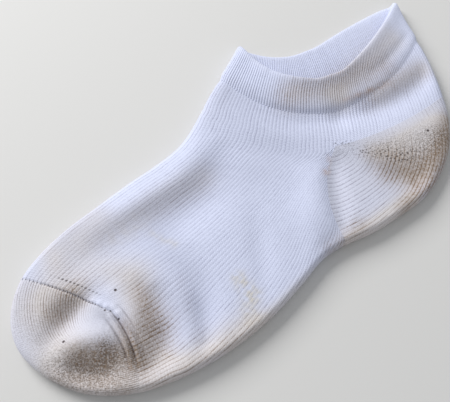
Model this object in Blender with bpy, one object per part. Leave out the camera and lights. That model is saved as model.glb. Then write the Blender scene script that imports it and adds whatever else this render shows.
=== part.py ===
"""A low-cut sports sock, machine-knitted as one tube, lying on its side with its mouth open.

+X runs from toe to heel, +Y from sole to instep, +Z up. The sock rests on z = 0, and its
origin is under the middle of its box. Sizes below are in millimetres, and MIDDLE is where
that origin lies among the tables' own x and y.

The sock is a flattened tube. A row of SECTIONS is one ring round it: its fold along the front
(the instep), the middle of its side, and its fold along the back (the heel and the sole). The
side that faces up is puffed, the side underneath lies flat. The heel and the toe are pockets,
each a fan of rings about the point where its seams meet on the side of the foot.
"""

import bpy
import numpy as np

METRE = 0.001
MIDDLE = (0.0, -1.15, 0.0)
BODY_WALL = 1.8
CUFF_WALL = 2.6
POCKET_WALL = 2.4
SEAM_GAP = 0.6
SHARP_EDGE = 1.0

# The fold at the sock's edge stands this high, with the flat under side and the puffed upper
# side each rounding off towards it over its own width.
FOLD_HEIGHT = 6.0
UNDER_ROUND = 8.0
PUFF_HEIGHT = 15.0

# A bow is how far that half of the ring curves towards the toe.
SECTIONS = (
    # name          front x, y      side x, y      back x, y      bows
    ("mouth rim",   40.5, 68.5,     66.5, 24.0,    134.0, 48.5,   9.5, 6.0),
    ("mid cuff",    30.5, 62.0,     61.5, 14.5,    128.0, 31.5,   9.0, 7.0),
    ("cuff edge",   18.0, 54.5,     56.5, 5.0,     125.0, 18.0,   8.0, 7.5),
    ("low leg",     8.0, 48.5,      51.5, -3.5,    120.5, 0.5,    6.5, 6.0),
    ("ankle",       -2.0, 41.5,     45.5, -13.0,   113.5, -18.0,  5.0, 4.0),
    ("heel end",    -2.0, 41.5,     45.5, -13.0,   20.0, -57.5,   5.0, 6.5),
    ("instep bend", -21.5, 30.5,    26.0, -15.0,   8.5, -57.5,    4.0, 5.0),
    ("arch",        -37.0, 27.5,    6.0, -19.0,    -8.5, -62.5,   3.0, 3.0),
    ("mid foot",    -52.0, 26.0,    -15.0, -22.0,  -27.0, -67.5,  2.0, 2.0),
    ("ball",        -72.0, 23.0,    -40.0, -25.0,  -48.5, -70.5,  1.0, 0.0),
    ("toe root",    -92.0, 19.5,    -62.0, -27.5,  -66.5, -70.5,  0.0, -1.0),
    ("toe bend",    -107.5, 14.5,   -79.0, -29.0,  -80.0, -69.0,  -1.0, -2.0),
    ("toe seam",    -119.0, 8.5,    -90.5, -28.5,  -96.5, -65.0,  -1.5, -2.0),
)
# Near the mouth the under side reaches past the upper one.
UNDER_SECTIONS = {
    # name         side x, y     bows
    "mouth rim":   (71.0, 48.5,  3.5, -2.0),
    "mid cuff":    (66.0, 32.5,  5.0, 2.0),
    "cuff edge":   (59.5, 16.0,  6.5, 5.0),
    "low leg":     (53.0, 1.5,   6.0, 5.5),
}

HEEL_FOLD = (
    # x, y, from the back of the ankle to the end of the heel pocket under the arch
    (113.5, -18.0),
    (109.0, -27.5),
    (103.0, -36.0),
    (97.0, -43.0),
    (88.5, -49.5),
    (79.0, -54.5),
    (69.0, -58.0),
    (51.0, -59.5),
    (35.0, -59.5),
    (20.0, -57.5),
)
TOE_FOLD = (
    # x, y, from the sole round the tip of the toe to the seam on the instep
    (-96.5, -65.0),
    (-108.0, -59.5),
    (-118.0, -52.0),
    (-126.0, -42.0),
    (-131.5, -31.0),
    (-134.0, -19.5),
    (-132.5, -9.5),
    (-127.5, 0.0),
    (-119.0, 8.5),
)

# The upper side rounds off more broadly where a pocket keeps its bulge.
EDGE_ROUND = 12.0
POCKET_ROUNDS = (
    # name     x, y            reach  added width
    ("heel",   85.0, -48.0,    38.0,  12.0),
    ("toe",    -112.0, -48.0,  34.0,  12.0),
)

CREASES = (
    # name                    from x, y       to x, y         width  rise
    ("instep trough",         -78.0, 11.0,    -18.0, 8.0,     9.0,   -3.0),
    ("trough behind the toe", -75.0, -22.0,   -77.0, -54.0,   6.5,   -4.0),
    ("soft trough, ball",     -54.0, -22.0,   -60.0, -55.0,   7.5,   -1.5),
    ("heel seam trough",      34.0, -22.0,    22.0, -48.0,    6.0,   -2.0),
    ("heel crescent",         62.0, -30.0,    60.0, -52.0,    7.0,   -3.5),
    ("toe dimple, instep",    -100.0, -10.0,  -112.0, -20.0,  7.5,   -4.0),
    ("toe dimple, sole",      -118.0, -35.0,  -97.0, -45.0,   8.5,   -4.0),
    ("toe gore ridge",        -92.0, -28.0,   -112.0, -27.5,  7.0,   2.5),
    ("fold under the cuff",   70.0, 2.0,      118.0, 4.0,     7.0,   -3.0),
)
# Creases die out over this distance from the fold, and slopes are read over twice this step.
CREASE_FADE = 9.0
SLOPE_STEP = 0.5
# A point this near the fold counts as on it, and its inward way is square to the fold.
ON_FOLD = 0.4

# How finely the cloth is faceted: columns from a fold to the side, rings along each piece.
FRONT_COLUMNS = 10
BACK_COLUMNS = 10
CUFF_RINGS = 5
LEG_RINGS = 6
FOOT_RINGS = 27
HEEL_RINGS = 13
TOE_RINGS = 13
# A pocket's rings start this part of the way out from its apex.
POCKET_TIP = 0.03
# Over 1, this crowds the columns towards the folds.
FOLD_CROWDING = 1.5
DENSE = 240
OUTLINE_POINTS = 320

WHITE_COTTON = (0.86, 0.87, 0.92)
CREAM_TERRY = (0.80, 0.76, 0.70)


def smooth_rows(rows, stops, at):
    """Values of the rows at stops, on a smooth curve through them, read at each of at."""
    rows = np.asarray(rows, float)
    stops = np.asarray(stops, float)
    at = np.clip(np.atleast_1d(at), stops[0], stops[-1])
    steps = np.diff(stops)[:, None]
    slopes = np.diff(rows, axis=0) / steps
    ends = np.vstack([slopes[:1], (slopes[:-1] * steps[1:] + slopes[1:] * steps[:-1])
                      / (steps[1:] + steps[:-1]), slopes[-1:]])
    k = np.clip(np.searchsorted(stops, at, side="right") - 1, 0, len(steps) - 1)
    h = steps[k]
    t = (at - stops[k])[:, None] / h
    return (
        rows[k] * (1 + 2 * t) * (1 - t) ** 2
        + rows[k + 1] * (3 - 2 * t) * t ** 2
        + ends[k] * h * t * (1 - t) ** 2
        - ends[k + 1] * h * t ** 2 * (1 - t)
    )


NAMES = [row[0] for row in SECTIONS]
VALUES = np.array([row[1:] for row in SECTIONS])
FRONT, SIDE, BACK = VALUES[:, 0:2], VALUES[:, 2:4], VALUES[:, 4:6]
FRONT_BOW, BACK_BOW = VALUES[:, 6:7], VALUES[:, 7:8]
UNDER = np.array([UNDER_SECTIONS.get(row[0], row[3:5] + row[7:9]) for row in SECTIONS])
SPLIT = NAMES.index("ankle")
LAST = len(NAMES) - 1


def walked(points):
    """The distance along a line of points, at each of them."""
    return np.concatenate([[0.0], np.cumsum(np.linalg.norm(np.diff(points, axis=0), axis=1))])


# The fold all round the sock's edge: the front, the toe, the sole, the heel, the back.
STOPS = walked(SIDE)
MOUTH_AT, CUFF_AT, SPLIT_AT, TOE_AT = STOPS[[0, NAMES.index("cuff edge"), SPLIT, LAST]]
ONE_SPLIT = np.delete(np.arange(LAST + 1), SPLIT + 1)
FOLD = np.vstack([FRONT[ONE_SPLIT], TOE_FOLD[-2:0:-1], BACK[:SPLIT:-1], HEEL_FOLD[-2:0:-1],
                  BACK[SPLIT::-1]])
FOLD_STOPS = walked(FOLD)
FRONT_ROWS = len(ONE_SPLIT)
SOLE_ROW = FRONT_ROWS + len(TOE_FOLD) - 2
HEEL_END_ROW = SOLE_ROW + LAST - SPLIT - 1
ANKLE_ROW = HEEL_END_ROW + len(HEEL_FOLD) - 1
FRONT_FOLD = FOLD_STOPS[:FRONT_ROWS]
TOE_POCKET = FOLD_STOPS[FRONT_ROWS - 1:SOLE_ROW + 1][::-1]
SOLE_FOLD = FOLD_STOPS[SOLE_ROW:HEEL_END_ROW + 1][::-1]
HEEL_POCKET = FOLD_STOPS[HEEL_END_ROW:ANKLE_ROW + 1][::-1]
LEG_FOLD = FOLD_STOPS[ANKLE_ROW:][::-1]
LEG_ROWS = slice(0, SPLIT + 1), LEG_FOLD
FOOT_ROWS = slice(SPLIT + 1, None), SOLE_FOLD


def fold_point(along):
    """The point this far round the fold, from the front of the mouth."""
    return smooth_rows(FOLD, FOLD_STOPS, along)


def rings_between(rows, at):
    """The side point and bows of the ring at this distance from the mouth, upper then under."""
    table = np.hstack([SIDE, FRONT_BOW, BACK_BOW, UNDER])
    found = smooth_rows(table[rows], STOPS[rows], at)[0]
    return found[:4], found[4:]


def nearest_on_lines(points, starts, ends):
    """For each point, how far the nearest of the lines from starts to ends is, and the way from it."""
    run = ends - starts
    length = np.maximum((run ** 2).sum(1), 1e-9)
    along = ((points[:, None] - starts) * run).sum(2) / length
    away = points[:, None] - (starts + np.clip(along, 0, 1)[..., None] * run)
    far = np.linalg.norm(away, axis=2)
    best = far.argmin(1)
    every = np.arange(len(points))
    far, away, run = far[every, best], away[every, best], run[best]
    left = np.column_stack([-run[:, 1], run[:, 0]]) / np.linalg.norm(run, axis=1)[:, None]
    on_line = far < ON_FOLD
    away[~on_line] /= far[~on_line, None]
    away[on_line] = left[on_line]
    return far, away


OUTLINE = fold_point(np.linspace(0, FOLD_STOPS[-1], OUTLINE_POINTS))


def creases(points):
    """What the troughs and ridges add to the height of the upper side."""
    added = np.zeros(len(points))
    for _, x0, y0, x1, y1, wide, rise in CREASES:
        away, _ = nearest_on_lines(points, np.array([[x0, y0]]), np.array([[x1, y1]]))
        added += rise * np.exp(-(away / wide) ** 2)
    return added


def surface(points, under):
    """The cloth's outer face over these x, y points: its height, and the way it faces."""
    edge, inward = nearest_on_lines(points, OUTLINE[:-1], OUTLINE[1:])
    if under:
        width = np.full(len(points), UNDER_ROUND)
        rise = -FOLD_HEIGHT
    else:
        width = np.full(len(points), EDGE_ROUND)
        for _, x, y, reach, added in POCKET_ROUNDS:
            away = np.linalg.norm(points - (x, y), axis=1)
            width += added * np.exp(-(away / reach) ** 2)
        rise = PUFF_HEIGHT - FOLD_HEIGHT
    left = 1 - np.clip(edge / width, 0, 1)
    height = FOLD_HEIGHT + rise * np.sqrt(1 - left ** 2)
    slope = (rise / width * left / np.sqrt(np.maximum(1 - left ** 2, 1e-6)))[:, None] * inward
    if not under:
        fade = np.clip(edge / CREASE_FADE, 0, 1)
        height = height + fade * creases(points)
        for axis in range(2):
            step = np.zeros(2)
            step[axis] = SLOPE_STEP
            change = creases(points + step) - creases(points - step)
            slope[:, axis] += fade * change / (2 * SLOPE_STEP)
    up = -1.0 if under else 1.0
    facing = up * np.column_stack([-slope, np.ones(len(points))])
    return height, facing / np.linalg.norm(facing, axis=1)[:, None]


def bowed(start, end, bow, part):
    """Points at these parts of the way from start to end, on a curve bowed to its right."""
    run = end - start
    across = np.array([run[1], -run[0]]) / np.linalg.norm(run)
    part = part[:, None]
    return start + run * part + across * bow * 4 * part * (1 - part)


def spread(points, under, columns, crowd_start, crowd_end):
    """The dense x, y points read again at even steps along the cloth, closer at a fold."""
    solid = np.column_stack([points, surface(points, under)[0]])
    so_far = walked(solid)
    step = np.linspace(0, 1, columns + 1)
    if crowd_start:
        step = step ** FOLD_CROWDING
    if crowd_end:
        step = 1 - (1 - step) ** FOLD_CROWDING
    at = step * so_far[-1]
    flat = np.column_stack([np.interp(at, so_far, points[:, i]) for i in range(2)])
    return np.column_stack([flat, *surface(flat, under)])


def tube_ring(at, part):
    """One closed ring: front fold, upper side, back fold, under side. Its part is "leg" or "foot"."""
    rows, folds = LEG_ROWS if part == "leg" else FOOT_ROWS
    front = fold_point(np.interp(at, STOPS[ONE_SPLIT], FRONT_FOLD))[0]
    back = fold_point(np.interp(at, STOPS[rows], folds))[0]
    dense = np.linspace(0, 1, DENSE)
    ahead, behind = [], []
    for front_side, back_side in zip(rings_between(ONE_SPLIT, at), rings_between(rows, at)):
        ahead.append(bowed(front, front_side[:2], front_side[2], dense))
        behind.append(bowed(front_side[:2], back, back_side[3], dense))
    quarters = (
        spread(ahead[0], False, FRONT_COLUMNS, True, False),
        spread(behind[0], False, BACK_COLUMNS, False, True),
        spread(behind[1][::-1], True, BACK_COLUMNS, True, False),
        spread(ahead[1][::-1], True, FRONT_COLUMNS, False, True),
    )
    return np.vstack([quarter[:-1] for quarter in quarters])


def fan_ring(apex, fold, bow, shift):
    """One ring of a pocket, from its apex over the fold and back underneath."""
    dense = np.linspace(POCKET_TIP, 1, DENSE)
    line = bowed(apex, fold, bow, dense)
    ahead = np.gradient(line, axis=0)
    ahead /= np.linalg.norm(ahead, axis=1)[:, None]
    line = line + np.column_stack([ahead[:, 1], -ahead[:, 0]]) * shift
    upper = spread(line, False, BACK_COLUMNS, False, True)
    under = spread(line[::-1], True, BACK_COLUMNS, True, False)
    return np.vstack([upper[:-1], under])


def fan(apex, pocket, bows, rings):
    """The rings of a pocket, the first and last drawn in from its seams by the gap."""
    edge = fold_point(np.linspace(pocket[0], pocket[-1], rings))
    bow = np.linspace(bows[0], bows[1], rings)
    shift = np.zeros(rings)
    shift[0], shift[-1] = SEAM_GAP, -SEAM_GAP
    return np.array([fan_ring(apex, edge[i], bow[i], shift[i]) for i in range(rings)])


def grid_faces(rows, columns, closed, first=0):
    """Quads between neighbouring rings, wound to face out of the sock."""
    faces = []
    for i in range(rows - 1):
        for j in range(columns if closed else columns - 1):
            k = (j + 1) % columns
            a, b = first + i * columns, first + (i + 1) * columns
            faces.append((a + j, b + j, b + k, a + k))
    return faces


def cotton(name, colour):
    material = bpy.data.materials.new(name)
    material.use_nodes = True
    shader = material.node_tree.nodes["Principled BSDF"]
    shader.inputs["Base Color"].default_value = (*colour, 1.0)
    shader.inputs["Roughness"].default_value = 0.95
    shader.inputs["Metallic"].default_value = 0.0
    return material


def add_cloth(name, points, faces, wall, colour):
    """A wall of cloth. Each of the points holds x, y and z on its outer face, and the way that faces."""
    outer = points[:, :3] - MIDDLE
    inner = outer - points[:, 3:] * wall
    count = len(outer)
    sides = {(a, b) for face in faces for a, b in zip(face, face[1:] + face[:1])}
    edges = [(b, a, a + count, b + count) for a, b in sides if (b, a) not in sides]
    lining = [tuple(k + count for k in reversed(face)) for face in faces]
    mesh = bpy.data.meshes.new(name)
    mesh.from_pydata((np.vstack([outer, inner]) * METRE).tolist(), [], faces + lining + sorted(edges))
    mesh.shade_smooth()
    mesh.set_sharp_from_angle(angle=SHARP_EDGE)
    mesh.materials.append(cotton(name + "_knit", colour))
    bpy.context.scene.collection.objects.link(bpy.data.objects.new(name, mesh))


def add_cuff():
    rings = np.linspace(MOUTH_AT, CUFF_AT - SEAM_GAP, CUFF_RINGS + 1)
    points = np.array([tube_ring(at, "leg") for at in rings])
    faces = grid_faces(len(rings), points.shape[1], True)
    add_cloth("cuff", points.reshape(-1, 6), faces, CUFF_WALL, WHITE_COTTON)


def add_leg_and_foot():
    leg = np.array([tube_ring(at, "leg") for at in np.linspace(CUFF_AT, SPLIT_AT, LEG_RINGS + 1)])
    foot = np.array([tube_ring(at, "foot") for at in np.linspace(SPLIT_AT, TOE_AT, FOOT_RINGS + 1)])
    around = leg.shape[1]
    points = np.vstack([leg.reshape(-1, 6), foot.reshape(-1, 6)])
    faces = grid_faces(len(leg), around, True)
    faces += grid_faces(len(foot), around, True, first=leg.shape[0] * around)
    # In front of the heel pocket the foot goes on from the leg's own last ring.
    last, start = (len(leg) - 1) * around, len(leg) * around
    heel = range(FRONT_COLUMNS + 1, FRONT_COLUMNS + 2 * BACK_COLUMNS)
    joined = {start + j: last + j for j in range(around) if j not in heel}
    faces = [tuple(joined.get(k, k) for k in face) for face in faces]
    used = sorted({k for face in faces for k in face})
    renumbered = {k: i for i, k in enumerate(used)}
    faces = [tuple(renumbered[k] for k in face) for face in faces]
    add_cloth("leg_foot", points[used], faces, BODY_WALL, WHITE_COTTON)


def add_heel():
    apex = SIDE[SPLIT]
    bows = BACK_BOW[SPLIT, 0], BACK_BOW[SPLIT + 1, 0]
    points = fan(apex, HEEL_POCKET, bows, HEEL_RINGS)
    faces = grid_faces(*points.shape[:2], False)
    add_cloth("heel", points.reshape(-1, 6), faces, POCKET_WALL, CREAM_TERRY)


def add_toe():
    apex = SIDE[-1]
    bows = BACK_BOW[-1, 0], -FRONT_BOW[-1, 0]
    points = fan(apex, TOE_POCKET, bows, TOE_RINGS)
    faces = grid_faces(*points.shape[:2], False)
    add_cloth("toe", points.reshape(-1, 6), faces, POCKET_WALL, CREAM_TERRY)


for old in list(bpy.data.objects):
    bpy.data.objects.remove(old)
add_cuff()
add_leg_and_foot()
add_heel()
add_toe()
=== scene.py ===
"""A low-cut cotton sports sock, lying on its side with its mouth open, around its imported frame.

The sock is one machine-knitted tube, so the sections follow the knitting: the cuff first, then
the leg and foot, the heel pocket, the toe pocket and its seam, and last what it lies on, the
light and the camera. Lengths are in millimetres until a mesh is made.
"""

import bmesh
import bpy
import numpy as np
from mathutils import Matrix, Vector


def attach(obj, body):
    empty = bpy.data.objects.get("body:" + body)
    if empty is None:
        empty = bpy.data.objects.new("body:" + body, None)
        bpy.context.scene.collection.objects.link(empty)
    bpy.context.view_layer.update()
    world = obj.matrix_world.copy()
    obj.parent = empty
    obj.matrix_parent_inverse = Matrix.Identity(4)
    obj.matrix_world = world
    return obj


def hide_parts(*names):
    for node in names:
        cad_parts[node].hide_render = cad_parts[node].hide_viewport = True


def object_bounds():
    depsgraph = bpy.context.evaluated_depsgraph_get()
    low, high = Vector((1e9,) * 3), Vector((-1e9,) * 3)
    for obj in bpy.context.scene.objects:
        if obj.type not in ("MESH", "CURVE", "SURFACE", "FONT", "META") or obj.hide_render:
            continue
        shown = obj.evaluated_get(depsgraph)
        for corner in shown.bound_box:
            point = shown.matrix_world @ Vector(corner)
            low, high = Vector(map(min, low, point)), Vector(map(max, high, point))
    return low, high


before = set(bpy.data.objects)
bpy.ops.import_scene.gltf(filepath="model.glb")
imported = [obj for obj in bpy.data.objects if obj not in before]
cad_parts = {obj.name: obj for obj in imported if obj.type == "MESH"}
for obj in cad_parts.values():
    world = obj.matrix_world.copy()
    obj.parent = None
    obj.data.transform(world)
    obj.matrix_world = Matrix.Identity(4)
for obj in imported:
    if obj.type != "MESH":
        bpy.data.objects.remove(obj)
cad_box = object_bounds()

# ---- The cuff ------------------------------------------------------------------------------
# The welt at the mouth: fine cotton rib with elastic, knitted double, turned over at the rim and
# caught down along a tight row where the leg begins. Its rings are the first of the tube's.

METRE = 0.001
CLOSE = 0.001
TINY = 1e-9

# A ring of the flattened tube runs from its front fold over the side that faces up to its back
# fold, and back underneath. A bow is how far that half of the side curves towards the toe.
TUBE = (
    # ring          front x, y     upper side x, y, bows     back x, y      under side, where it differs
    ("mouth rim",   40.5, 68.5,    66.8, 19.2, 9.5, 4.2,     133, 48,       70.5, 46, 4.5, -1.5),
    ("mid cuff",    30.5, 62,      61.5, 14, 9, 5.5,         128, 31.5,     66, 32.5, 5, 2),
    ("cuff edge",   18, 54.5,      56.5, 5, 8, 7.5,          125, 18,       59.5, 16, 6.5, 5),
    ("low leg",     8, 48.5,       51.5, -3.5, 6.5, 6,       120.5, 0.5,    53, 1.5, 6, 5.5),
    ("ankle",       -2, 41.5,      45.5, -13, 5, 4,          113.5, -18),
    ("heel end",    -2, 41.5,      45.5, -13, 5, 6.5,        20, -57.5),
    ("instep bend", -21.5, 30.5,   26, -15, 4, 5,            8.5, -57.5),
    ("arch",        -37, 27.5,     6, -19, 3, 3,             -8.5, -62.5),
    ("mid foot",    -52, 26,       -15, -22, 2, 2,           -27, -67.5),
    ("ball",        -72, 23,       -40, -25, 1, 0,           -48.5, -70.5),
    ("toe root",    -92, 19.5,     -62, -27.5, 0, -1,        -66.5, -70.5),
    ("toe bend",    -107.5, 14.5,  -79, -29, -1, -2.5,       -80, -69),
    ("toe seam",    -119, 8.5,     -90.5, -28.5, -1.5, -3.5, -96.5, -65),
)
HEEL_FOLD = (
    # x, y, from the back of the ankle to where the heel pocket ends under the arch
    (113.5, -18), (109, -27.5), (103, -36), (97, -43), (88.5, -49.5),
    (79, -54.5), (69, -58), (51, -59.5), (35, -59.5), (20, -57.5),
)
TOE_FOLD = (
    # x, y, from the sole round the tip of the toe to the seam on the instep
    (-96.5, -65), (-108, -59.5), (-118, -52), (-126, -42), (-131.5, -31),
    (-134, -19.5), (-132.5, -9.5), (-127.5, 0), (-119, 8.5),
)
# How high the fold lies, how the cloth rounds up from it to the top and down to the floor, and
# how far the middle swells. Some places of the edge round over a wider band.
FOLD_HEIGHT = 3.0
UNDER_ROUND = 8.0
EDGE_HEIGHT = 8.0
SWELL = 0.6
SWELL_REACH = 30.0
EDGE_ROUND = 3.2
SQUARENESS = 2.8
CORNER_ROUND = 16.0
EDGE_SPOTS = (
    # place          x, y         reach  added width
    ("heel",         96, -36,     26,    8),
    ("toe",          -118, -42,   26,    3.5),
    ("instep",       -50, 26,     40,    7),
    ("front",        5, 50,       40,    5),
    ("mouth, front", 41, 68,      12,    5),
    ("mouth, back",  134, 48,     18,    10),
)
# Soft troughs and ridges, each along a smooth path. Its width and its rise change along it.
CREASES = (
    # crease               x, y, width, rise
    ("rim stands up",      (45, 44, 8, 1.5), (54, 32, 10, 4), (66, 26, 11, 4.5), (84, 26, 11, 4),
                           (104, 33, 11, 3.4), (120, 40, 9, 1.5)),
    ("under the rim",      (18, 40, 6, -0.6), (28, 24, 6.5, -1.6), (40.5, 10, 7, -2.7), (56, 2, 7, -2.4)),
    ("under the cuff",     (62, 0, 7, -2.4), (78, -5, 7, -3.5), (96, -6.5, 7, -3.5), (114, -4, 6, -2.5)),
    ("heel swell",         (66, -22, 7, 0.5), (84, -28, 9, 1), (100, -30, 8, 0.6)),
    ("cuff fold",          (86.6, 12.6, 2, -0.2), (103, 16, 2.6, -0.6), (119.5, 22, 2.4, -0.5)),
    ("slack at the bend",  (4, 14, 7, -0.6), (22, -3, 8, -1.5), (34, -18, 6, -0.6)),
    ("instep ridge",       (-90, 10, 6, 0.2), (-60, 12.5, 6, 1.6), (-30, 14, 7, 1.9), (-10, 22, 7, 0.8)),
    ("instep trough",      (-96, -1, 7, -0.7), (-68, 0, 10, -1.6), (-42, -2, 12, -3),
                           (-22, 1.5, 11, -2.6), (-9, 9, 9, -1.3), (0, 20, 7, -0.2)),
    ("heel seam ridge",    (34, -14, 7, 0.5), (24, -27, 9, 1.8), (14, -41, 10, 2.3), (7, -52, 7, 0.8)),
    ("heel seam trough",   (42, -19, 4, -0.6), (35, -27.5, 5, -2), (29, -39, 5.5, -1.8),
                           (23, -50, 4, -1)),
    ("heel crescent",      (56, -34, 5, -1), (66.5, -47, 8, -3.2), (75, -56, 6, -2)),
    ("arch",               (-9, -22, 5, -0.3), (-17, -40, 6, -1.2), (-25, -56, 5, -0.4)),
    ("ball",               (-53, -14, 7, -0.8), (-51, -26, 7, -1.8), (-51, -40, 6.5, -3),
                           (-55, -52, 6.5, -3.6), (-60, -62, 5, -2)),
    ("behind the toe",     (-72, -26, 5, -0.9), (-69.5, -35, 7, -3), (-71, -45, 8, -3.7),
                           (-78, -54, 8, -4.4), (-88, -59, 6, -2.2)),
    ("cushion, knot",      (-85, -22, 5, 1), (-83, -34, 5.5, 1.8), (-87, -45, 5, 0.8)),
    ("toe dimple, instep", (-119, -25, 6, -2), (-108, -19.5, 6.5, -4.8), (-98, -17, 5, -2.2)),
    ("toe ridge",          (-117, -31, 5, 1), (-107, -34, 6.5, 3), (-98, -37, 7, 3.2),
                           (-93, -43, 5, 1.2)),
    ("toe dimple, sole",   (-123, -40, 5, -0.8), (-115.5, -46, 7.5, -4.4), (-109, -50.5, 7.5, -4.4),
                           (-101, -51, 6, -2)),
)
# Creases fade out at the fold, and the underside takes a share of the troughs.
CREASE_STEPS = 4
CREASE_FADE = 9.0
UNDER_SHARE = 0.15
TWIST = 20.0
OUTLINE_POINTS = 320
DENSE = 240
NET_STEP = 1.0
WAVES = 7
RIM_SPOT = 0.995
RIM_ANGLE = np.radians(50)


def smooth_rows(rows, stops, at):
    """Values of the rows at stops, on a smooth curve through them, read at each of at."""
    rows = np.asarray(rows, float)
    stops = np.asarray(stops, float)
    at = np.clip(np.atleast_1d(at), stops[0], stops[-1])
    steps = np.diff(stops)[:, None]
    slopes = np.diff(rows, axis=0) / steps
    ends = np.vstack([slopes[:1], (slopes[:-1] * steps[1:] + slopes[1:] * steps[:-1])
                      / (steps[1:] + steps[:-1]), slopes[-1:]])
    k = np.clip(np.searchsorted(stops, at, side="right") - 1, 0, len(steps) - 1)
    h = steps[k]
    t = (at - stops[k])[:, None] / h
    return (
        rows[k] * (1 + 2 * t) * (1 - t) ** 2
        + rows[k + 1] * (3 - 2 * t) * t ** 2
        + ends[k] * h * t * (1 - t) ** 2
        - ends[k + 1] * h * t ** 2 * (1 - t)
    )


def walked(points):
    """The distance along a line of points, at each of them."""
    return np.concatenate([[0.0], np.cumsum(np.linalg.norm(np.diff(points, axis=0), axis=1))])


# Each ring's sizes, and its stop: how far from the mouth it is along the middle of the upper side.
NAMES = [row[0] for row in TUBE]
SIZES = np.array([(row[1:] + row[3:7])[:12] for row in TUBE])
FRONT, BACK = SIZES[:, 0:2], SIZES[:, 6:8]
SIDES = SIZES[:, [2, 3, 4, 5, 8, 9, 10, 11]]
SPLIT = NAMES.index("ankle")
LAST = len(NAMES) - 1
STOPS = walked(SIZES[:, 2:4])
MOUTH_AT, CUFF_AT, ANKLE_AT, TOE_AT = STOPS[[0, NAMES.index("cuff edge"), SPLIT, LAST]]
ONE_SPLIT = np.delete(np.arange(LAST + 1), SPLIT + 1)

# The fold all round the sock's edge: the front, the toe, the sole, the heel, the back.
FOLD = np.vstack([FRONT[ONE_SPLIT], TOE_FOLD[-2:0:-1], BACK[:SPLIT:-1], HEEL_FOLD[-2:0:-1],
                  BACK[SPLIT::-1]])
FOLD_STOPS = walked(FOLD)
SOLE_ROW = len(ONE_SPLIT) + len(TOE_FOLD) - 2
HEEL_END_ROW = SOLE_ROW + LAST - SPLIT - 1
ANKLE_ROW = HEEL_END_ROW + len(HEEL_FOLD) - 1
FRONT_FOLD = FOLD_STOPS[:len(ONE_SPLIT)]
TOE_POCKET = FOLD_STOPS[len(ONE_SPLIT) - 1:SOLE_ROW + 1][::-1]
HEEL_POCKET = FOLD_STOPS[HEEL_END_ROW:ANKLE_ROW + 1][::-1]
LEG = slice(0, SPLIT + 1), FOLD_STOPS[ANKLE_ROW:][::-1]
FOOT = slice(SPLIT + 1, None), FOLD_STOPS[SOLE_ROW:HEEL_END_ROW + 1][::-1]


def fold_point(along):
    """The point this far round the fold, from the front of the mouth."""
    return smooth_rows(FOLD, FOLD_STOPS, along)


# The point of the tables that goes to the frame's origin: it centres the outline in the frame's box.
OUTLINE = fold_point(np.linspace(0, FOLD_STOPS[-1], OUTLINE_POINTS))
MIDDLE = np.append((OUTLINE.min(0) + OUTLINE.max(0) - np.add(*cad_box)[:2] / METRE) / 2, 0.0)


def from_line(points, start, end):
    """How far each point lies from one straight line, and on which side: left of it is positive."""
    start, run = np.array(start, float), np.subtract(end, start, dtype=float)
    away = points - start
    along = np.clip(away @ run / (run @ run), 0, 1)
    side = np.sign(run[0] * away[:, 1] - run[1] * away[:, 0])
    return side * np.linalg.norm(away - along[:, None] * run, axis=1)


# How far inside the fold each crossing of a square net lies, read off between them.
LOW = OUTLINE.min(0) - NET_STEP
NET = [np.arange(LOW[i], OUTLINE[:, i].max() + 2 * NET_STEP, NET_STEP) for i in range(2)]
CROSSINGS = np.stack(np.meshgrid(*NET, indexing="ij"), axis=-1).reshape(-1, 2)
INSIDE = np.full(len(CROSSINGS), np.inf)
for start, end in zip(OUTLINE[:-1], OUTLINE[1:]):
    away = from_line(CROSSINGS, start, end)
    INSIDE = np.where(np.abs(away) < np.abs(INSIDE) - CLOSE, away, INSIDE)
INSIDE = INSIDE.reshape(len(NET[0]), len(NET[1]))


def from_fold(points):
    """How far inside the fold these x, y points lie, and the way that this grows."""
    at = (points - LOW) / NET_STEP
    cell = np.clip(at.astype(int), 0, np.array(INSIDE.shape) - 2)
    x, y = (at - cell).T
    i, j = cell.T
    near, far = INSIDE[i, j], INSIDE[i + 1, j]
    above, beyond = INSIDE[i, j + 1], INSIDE[i + 1, j + 1]
    edge = (near * (1 - x) + far * x) * (1 - y) + (above * (1 - x) + beyond * x) * y
    inward = np.column_stack([(far - near) * (1 - y) + (beyond - above) * y,
                              (above - near) * (1 - x) + (beyond - far) * x])
    return edge, inward / np.maximum(np.linalg.norm(inward, axis=1, keepdims=True), TINY)


STARTS, CHANGES, ENDS = [], [], [0]
for _, *path in CREASES:
    so_far = walked(np.array(path)[:, :2])
    path = smooth_rows(path, so_far, np.linspace(0, so_far[-1], CREASE_STEPS * (len(path) - 1) + 1))
    STARTS.append(path[:-1])
    CHANGES.append(np.diff(path, axis=0))
    ENDS.append(ENDS[-1] + len(path) - 1)
STARTS, CHANGES = np.vstack(STARTS), np.vstack(CHANGES)


def relief(points):
    """The height and the slope that the creases add at these x, y points."""
    run = CHANGES[:, :2]
    away = points[:, None] - STARTS[:, :2]
    free = (away * run).sum(2) / (run ** 2).sum(1)
    along = np.clip(free, 0, 1)
    away -= along[..., None] * run
    far = (away ** 2).sum(2)
    every = np.arange(len(points))
    height, slope = np.zeros(len(points)), np.zeros((len(points), 2))
    for first, end in zip(ENDS[:-1], ENDS[1:]):
        near = first + far[:, first:end].argmin(1)
        _, _, width, rise = (STARTS[near] + CHANGES[near] * along[every, near, None]).T
        fall = np.exp(-far[every, near] / width ** 2)
        growth = (free == along)[every, near] * CHANGES[near, 3] * fall / (run[near] ** 2).sum(1)
        height += rise * fall
        slope += growth[:, None] * run[near] - 2 * (rise * fall / width ** 2)[:, None] * away[every, near]
    return height, slope


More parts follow.
